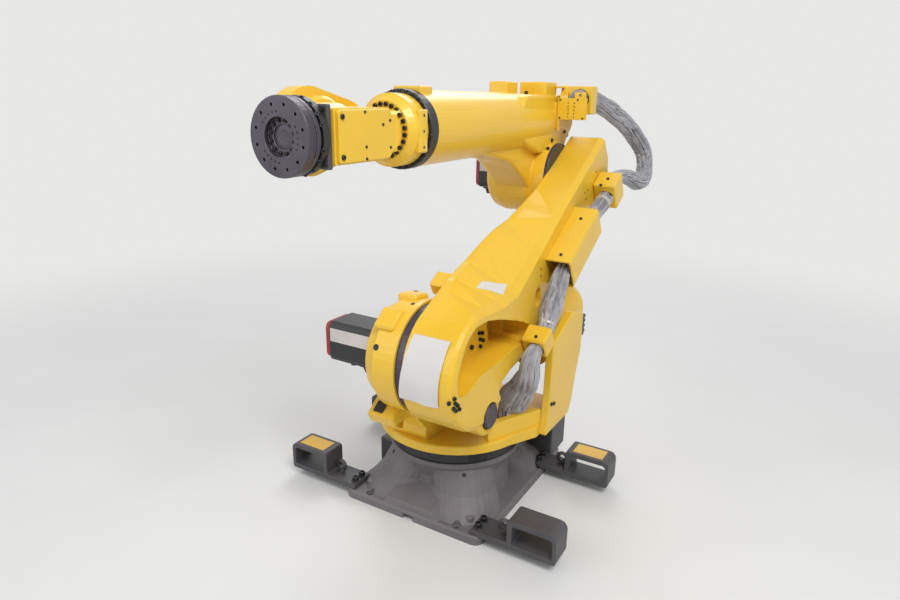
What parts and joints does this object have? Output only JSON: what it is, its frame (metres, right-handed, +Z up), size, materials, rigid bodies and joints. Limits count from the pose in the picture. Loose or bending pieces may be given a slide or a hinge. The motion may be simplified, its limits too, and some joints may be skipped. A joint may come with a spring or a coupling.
{
  "type": "industrial robot arm",
  "caption": "Floor-standing articulated robot arm, leaned back over a round turret, with a forearm tube, a jointed wrist, a bare tool flange and a grey sleeved harness.",
  "frame": {"origin": "where the first axis meets the floor, on the underside of the foot plate", "axes": "+X forward over the tool side, +Y to the robot's left, the side of the lower arm, +Z up along the first axis"},
  "size_m": [2.2436, 1.176, 1.5925],
  "materials": {
    "paint": "satin yellow-orange machine paint",
    "base_grey": "semi-matt warm grey paint on a casting",
    "dark_grey": "dark grey paint on steel plate",
    "gunmetal": "blackened machined steel",
    "black": "black paint",
    "steel": "ground steel",
    "red": "red moulded plastic",
    "sleeve": "silver-grey woven protective sleeve",
    "rubber": "black rubber"
  },
  "bodies": {
    "base": {"base_casting": "base_grey", "bearing_ring": "black", "connector_box": "dark_grey", "cable_cover": "dark_grey", "fork_bracket_front_left": "dark_grey", "fork_bracket_front_right": "dark_grey", "fork_bracket_rear_left": "dark_grey", "fork_bracket_rear_right": "dark_grey"},
    "turret": {"turret_casting": "paint", "side_wall": "paint", "wall_connectors": "black", "turning_motor": "black", "shoulder_ring": "gunmetal", "shoulder_motor": "black", "shoulder_motor_cap": "red", "stop_pad": "rubber", "harness_turret": "sleeve"},
    "balancer": {"balancer_cylinder": "paint"},
    "balancer_rod": {"balancer_rod": "steel"},
    "lower_arm": {"lower_arm_casting": "paint", "balancer_pin": "gunmetal", "lower_clamp": "paint", "cable_guard": "paint", "top_clamp": "paint", "harness_arm": "sleeve"},
    "upper_arm": {"upper_arm_casting": "paint", "elbow_ring": "gunmetal", "elbow_motor": "black", "elbow_motor_cap": "red", "rear_bracket": "paint", "roll_ring": "black", "wrist_motor_left": "black", "wrist_motor_right": "black", "wrist_motor_lower": "black", "harness_loop": "sleeve"},
    "wrist_roll": {"wrist_fork": "paint"},
    "wrist_bend": {"wrist_housing": "paint", "cover_plate": "paint", "end_plate": "dark_grey", "flange_ring": "black"},
    "flange": {"adapter_disc": "gunmetal", "tool_flange": "gunmetal"}
  },
  "joints": [
    {"name": "turn", "type": "hinge", "parent": "base", "child": "turret", "pos_m": [0, 0, 0.278], "axis": [0, 0, 1], "range_deg": [-185, 185]},
    {"name": "shoulder", "type": "hinge", "parent": "turret", "child": "lower_arm", "pos_m": [0.312, 0, 0.67], "axis": [0, 1, 0], "range_deg": [0, 136], "deforming": ["harness_turret"]},
    {"name": "elbow", "type": "hinge", "parent": "lower_arm", "child": "upper_arm", "pos_m": [-0.61898, 0, 1.2075], "axis": [0, -1, 0], "range_deg": [-12, 164], "deforming": ["harness_loop"]},
    {"name": "wrist_turn", "type": "hinge", "parent": "upper_arm", "child": "wrist_roll", "pos_m": [0.38102, 0, 1.4325], "axis": [1, 0, 0], "range_deg": [-360, 360]},
    {"name": "wrist_tilt", "type": "hinge", "parent": "wrist_roll", "child": "wrist_bend", "pos_m": [0.66102, 0, 1.4325], "axis": [0, 1, 0], "range_deg": [-125, 125]},
    {"name": "flange_turn", "type": "hinge", "parent": "wrist_bend", "child": "flange", "pos_m": [0.85, 0, 1.4325], "axis": [1, 0, 0], "range_deg": [-360, 360]},
    {"name": "balancer_swing", "type": "hinge", "parent": "turret", "child": "balancer", "pos_m": [-0.3, 0.2, 0.5975], "axis": [0, -1, 0], "range_deg": [0, 37.2]},
    {"name": "rod_swing", "type": "hinge", "parent": "lower_arm", "child": "balancer_rod", "pos_m": [0.2603, 0.2, 0.48046], "axis": [0, -1, 0], "range_deg": [0, 173.2]}
  ],
  "couplings": [
    {"joint": "balancer_swing", "follows": "shoulder", "ratio": 0.2728},
    {"joint": "rod_swing", "follows": "shoulder", "ratio": 1.2728}
  ]
}
